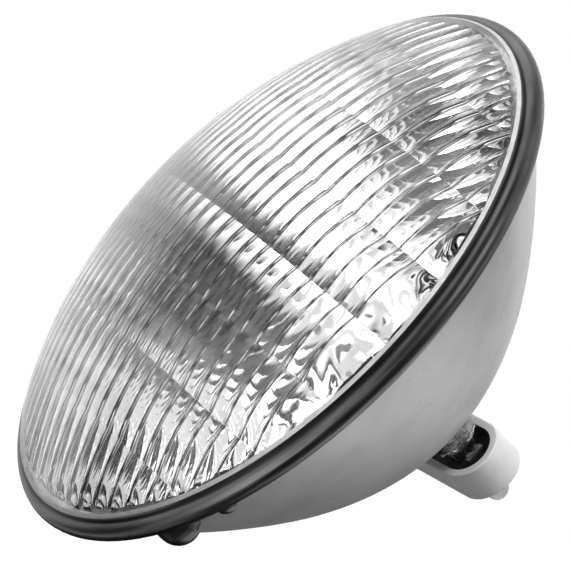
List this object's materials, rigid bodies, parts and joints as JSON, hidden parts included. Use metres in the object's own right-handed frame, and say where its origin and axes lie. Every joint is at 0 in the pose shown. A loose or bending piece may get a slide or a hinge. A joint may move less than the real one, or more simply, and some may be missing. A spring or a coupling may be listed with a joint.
{
  "type": "sealed beam spotlight bulb",
  "caption": "Round sealed-beam reflector bulb with a fluted clear glass lens, an aluminised glass bowl and an end-prong ceramic base, for spot and flood fixtures.",
  "frame": {"origin": "centre of the fused rim seam between lens and bowl", "axes": "+Z along the lamp's axis towards the front of the lens, +Y along the ceramic base bar, X across it"},
  "size_m": [0.1768, 0.1768, 0.1226],
  "materials": {
    "lens_glass": "polished",
    "bowl_glass": "polished inside, satin behind",
    "tube_glass": "fire polished",
    "ceramic": "matte",
    "ferrule_metal": "satin",
    "contact_metal": "nickel plated",
    "post_metal": "satin",
    "tungsten": "matte"
  },
  "bodies": {
    "root": {"front_lens": "lens_glass", "reflector_bowl": "bowl_glass", "exhaust_tube": "tube_glass", "filament": "tungsten", "ceramic_base": "ceramic", "ferrule_a": "ferrule_metal", "lead_post_a": "post_metal", "filament_clamp_a": "post_metal", "terminal_strap_a": "contact_metal", "contact_prong_a": "contact_metal", "ferrule_b": "ferrule_metal", "lead_post_b": "post_metal", "filament_clamp_b": "post_metal", "terminal_strap_b": "contact_metal", "contact_prong_b": "contact_metal"}
  },
  "joints": []
}
